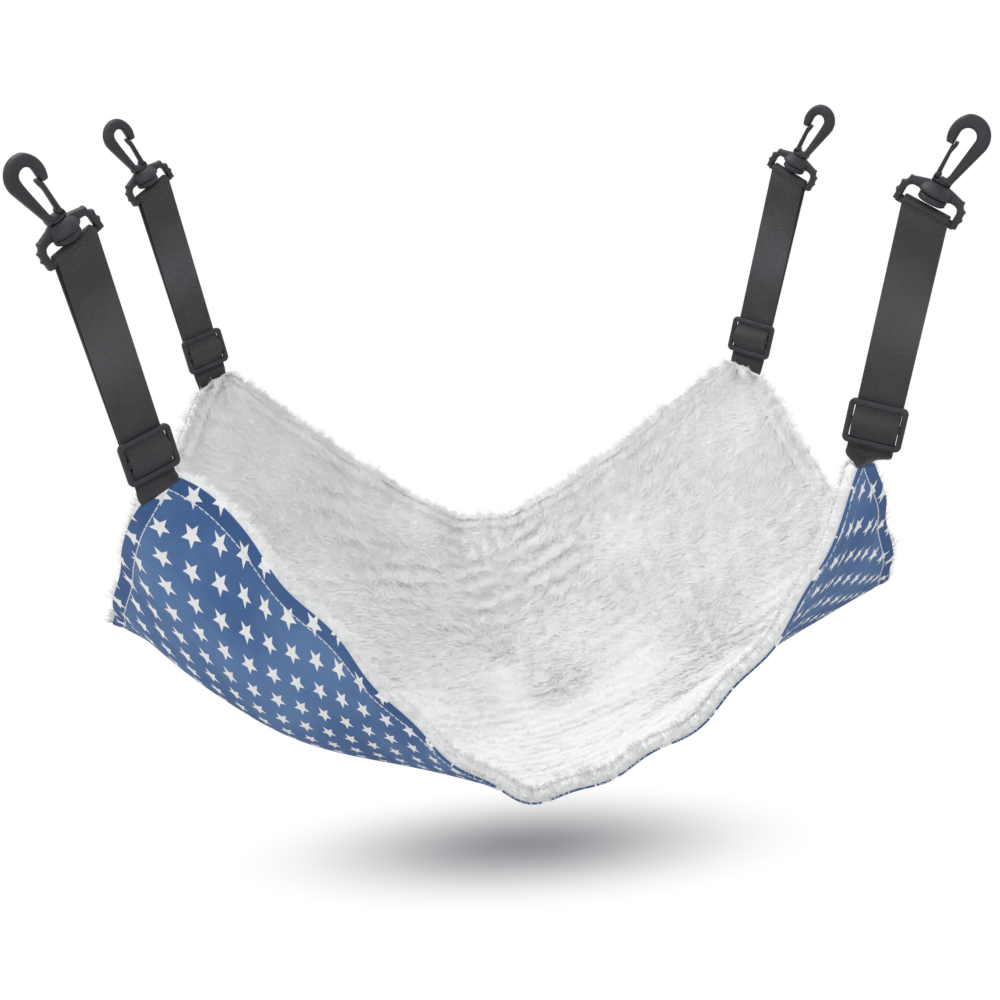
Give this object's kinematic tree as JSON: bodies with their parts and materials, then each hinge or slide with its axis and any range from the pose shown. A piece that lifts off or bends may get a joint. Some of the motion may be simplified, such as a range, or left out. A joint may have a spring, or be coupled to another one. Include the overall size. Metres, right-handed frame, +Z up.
{
  "type": "cat hammock",
  "caption": "Lined rectangular cloth that hangs by its cut corners from adjustable webbing straps with swivel snap hooks, as a bed for a cat.",
  "frame": {"origin": "centre of the bounding box, at the bottom of the cloth's belly", "axes": "+X along the cloth's long side, +Y from the front edge to the back edge, +Z up"},
  "size_m": [0.4949, 0.4167, 0.3956],
  "materials": {
    "star_cloth": "woven blue cloth with a white star print",
    "plush": "white short-pile plush",
    "webbing": "black woven webbing, slight sheen",
    "plastic": "black moulded plastic, fine grain"
  },
  "bodies": {
    "hammock": {"outer_fabric": "star_cloth", "plush_lining": "plush", "strap_tab_fl": "webbing", "strap_tab_fr": "webbing", "strap_tab_bl": "webbing", "strap_tab_br": "webbing"},
    "strap_fl": {"strap_front_fl": "webbing"},
    "adjuster_fl": {"slider_fl": "plastic", "strap_weave_fl": "webbing"},
    "strap_end_fl": {"strap_loop_fl": "webbing", "strap_return_fl": "webbing"},
    "swivel_ring_fl": {"ring_fl": "plastic"},
    "snap_hook_fl": {"hook_fl": "plastic"},
    "hook_gate_fl": {"gate_fl": "plastic"},
    "strap_fr": {"strap_front_fr": "webbing"},
    "adjuster_fr": {"slider_fr": "plastic", "strap_weave_fr": "webbing"},
    "strap_end_fr": {"strap_loop_fr": "webbing", "strap_return_fr": "webbing"},
    "swivel_ring_fr": {"ring_fr": "plastic"},
    "snap_hook_fr": {"hook_fr": "plastic"},
    "hook_gate_fr": {"gate_fr": "plastic"},
    "strap_bl": {"strap_front_bl": "webbing"},
    "adjuster_bl": {"slider_bl": "plastic", "strap_weave_bl": "webbing"},
    "strap_end_bl": {"strap_loop_bl": "webbing", "strap_return_bl": "webbing"},
    "swivel_ring_bl": {"ring_bl": "plastic"},
    "snap_hook_bl": {"hook_bl": "plastic"},
    "hook_gate_bl": {"gate_bl": "plastic"},
    "strap_br": {"strap_front_br": "webbing"},
    "adjuster_br": {"slider_br": "plastic", "strap_weave_br": "webbing"},
    "strap_end_br": {"strap_loop_br": "webbing", "strap_return_br": "webbing"},
    "swivel_ring_br": {"ring_br": "plastic"},
    "snap_hook_br": {"hook_br": "plastic"},
    "hook_gate_br": {"gate_br": "plastic"}
  },
  "joints": [
    {"name": "strap_swing_fl", "type": "hinge", "parent": "hammock", "child": "strap_fl", "pos_m": [-0.19219, -0.15344, 0.21839], "axis": [0.7732, 0.5749, 0.2676], "range_deg": [-30, 60]},
    {"name": "adjust_fl", "type": "slide", "parent": "strap_fl", "child": "adjuster_fl", "axis": [-0.1783, -0.2079, 0.9618], "range_m": [0, 0.15]},
    {"name": "let_out_fl", "type": "slide", "parent": "strap_fl", "child": "strap_end_fl", "axis": [-0.1783, -0.2079, 0.9618], "range_m": [0, 0.075], "deforming": ["strap_front_fl", "strap_return_fl"]},
    {"name": "ring_turn_fl", "type": "hinge", "parent": "strap_end_fl", "child": "swivel_ring_fl", "pos_m": [-0.21755, -0.17851, 0.34551], "axis": [0.6873, 0.489, 0.5371], "range_deg": [-95, 95]},
    {"name": "hook_swivel_fl", "type": "hinge", "parent": "swivel_ring_fl", "child": "snap_hook_fl", "pos_m": [-0.21755, -0.17851, 0.34551], "axis": [0.3965, 0.3669, -0.8415], "continuous": true},
    {"name": "gate_open_fl", "type": "hinge", "parent": "snap_hook_fl", "child": "hook_gate_fl", "pos_m": [-0.22291, -0.18397, 0.36378], "axis": [0.6086, -0.7913, -0.0583], "range_deg": [0, 16], "stiffness_Nm_per_rad": 0.05},
    {"name": "strap_swing_fr", "type": "hinge", "parent": "hammock", "child": "strap_fr", "pos_m": [0.19287, -0.15355, 0.21515], "axis": [0.8945, -0.4037, -0.1919], "range_deg": [-30, 60]},
    {"name": "adjust_fr", "type": "slide", "parent": "strap_fr", "child": "adjuster_fr", "axis": [0.1553, -0.1219, 0.9803], "range_m": [0, 0.15]},
    {"name": "let_out_fr", "type": "slide", "parent": "strap_fr", "child": "strap_end_fr", "axis": [0.1553, -0.1219, 0.9803], "range_m": [0, 0.075], "deforming": ["strap_front_fr", "strap_return_fr"]},
    {"name": "ring_turn_fr", "type": "hinge", "parent": "strap_end_fr", "child": "swivel_ring_fr", "pos_m": [0.21462, -0.16692, 0.3447], "axis": [0.8101, -0.3504, -0.4701], "range_deg": [-95, 95]},
    {"name": "hook_swivel_fr", "type": "hinge", "parent": "swivel_ring_fr", "child": "snap_hook_fr", "pos_m": [0.21462, -0.16692, 0.3447], "axis": [0.41, -0.2346, 0.8814], "continuous": true},
    {"name": "gate_open_fr", "type": "hinge", "parent": "snap_hook_fr", "child": "hook_gate_fr", "pos_m": [0.21982, -0.17028, 0.36351], "axis": [0.4191, 0.9067, 0.0463], "range_deg": [0, 16], "stiffness_Nm_per_rad": 0.05},
    {"name": "strap_swing_bl", "type": "hinge", "parent": "hammock", "child": "strap_bl", "pos_m": [-0.19257, 0.15075, 0.21898], "axis": [0.7805, 0.5834, 0.2247], "range_deg": [-60, 30]},
    {"name": "adjust_bl", "type": "slide", "parent": "strap_bl", "child": "adjuster_bl", "axis": [-0.1894, -0.1219, 0.9743], "range_m": [0, 0.15]},
    {"name": "let_out_bl", "type": "slide", "parent": "strap_bl", "child": "strap_end_bl", "axis": [-0.1894, -0.1219, 0.9743], "range_m": [0, 0.075], "deforming": ["strap_front_bl", "strap_return_bl"]},
    {"name": "ring_turn_bl", "type": "hinge", "parent": "strap_end_bl", "child": "swivel_ring_bl", "pos_m": [-0.21936, 0.13707, 0.34754], "axis": [0.691, 0.5223, 0.4997], "range_deg": [-95, 95]},
    {"name": "hook_swivel_bl", "type": "hinge", "parent": "swivel_ring_bl", "child": "snap_hook_bl", "pos_m": [-0.21936, 0.13707, 0.34754], "axis": [0.4093, 0.2871, -0.866], "continuous": true},
    {"name": "gate_open_bl", "type": "hinge", "parent": "snap_hook_bl", "child": "hook_gate_bl", "pos_m": [-0.22495, 0.13327, 0.36616], "axis": [0.5958, -0.803, 0.0154], "range_deg": [0, 16], "stiffness_Nm_per_rad": 0.05},
    {"name": "strap_swing_br", "type": "hinge", "parent": "hammock", "child": "strap_br", "pos_m": [0.1925, 0.1509, 0.21079], "axis": [0.7843, -0.5846, -0.2078], "range_deg": [-60, 30]},
    {"name": "adjust_br", "type": "slide", "parent": "strap_br", "child": "adjuster_br", "axis": [0.1812, -0.1045, 0.9779], "range_m": [0, 0.15]},
    {"name": "let_out_br", "type": "slide", "parent": "strap_br", "child": "strap_end_br", "axis": [0.1812, -0.1045, 0.9779], "range_m": [0, 0.075], "deforming": ["strap_front_br", "strap_return_br"]},
    {"name": "ring_turn_br", "type": "hinge", "parent": "strap_end_br", "child": "swivel_ring_br", "pos_m": [0.2182, 0.13952, 0.3398], "axis": [0.697, -0.5285, -0.4847], "range_deg": [-95, 95]},
    {"name": "hook_swivel_br", "type": "hinge", "parent": "swivel_ring_br", "child": "snap_hook_br", "pos_m": [0.2182, 0.13952, 0.3398], "axis": [0.4026, -0.2709, 0.8744], "continuous": true},
    {"name": "gate_open_br", "type": "hinge", "parent": "snap_hook_br", "child": "hook_gate_br", "pos_m": [0.22365, 0.13606, 0.35852], "axis": [0.5934, 0.8046, -0.024], "range_deg": [0, 16], "stiffness_Nm_per_rad": 0.05}
  ],
  "couplings": [
    {"joint": "let_out_fl", "follows": "adjust_fl", "ratio": 0.5},
    {"joint": "let_out_fr", "follows": "adjust_fr", "ratio": 0.5},
    {"joint": "let_out_bl", "follows": "adjust_bl", "ratio": 0.5},
    {"joint": "let_out_br", "follows": "adjust_br", "ratio": 0.5}
  ]
}
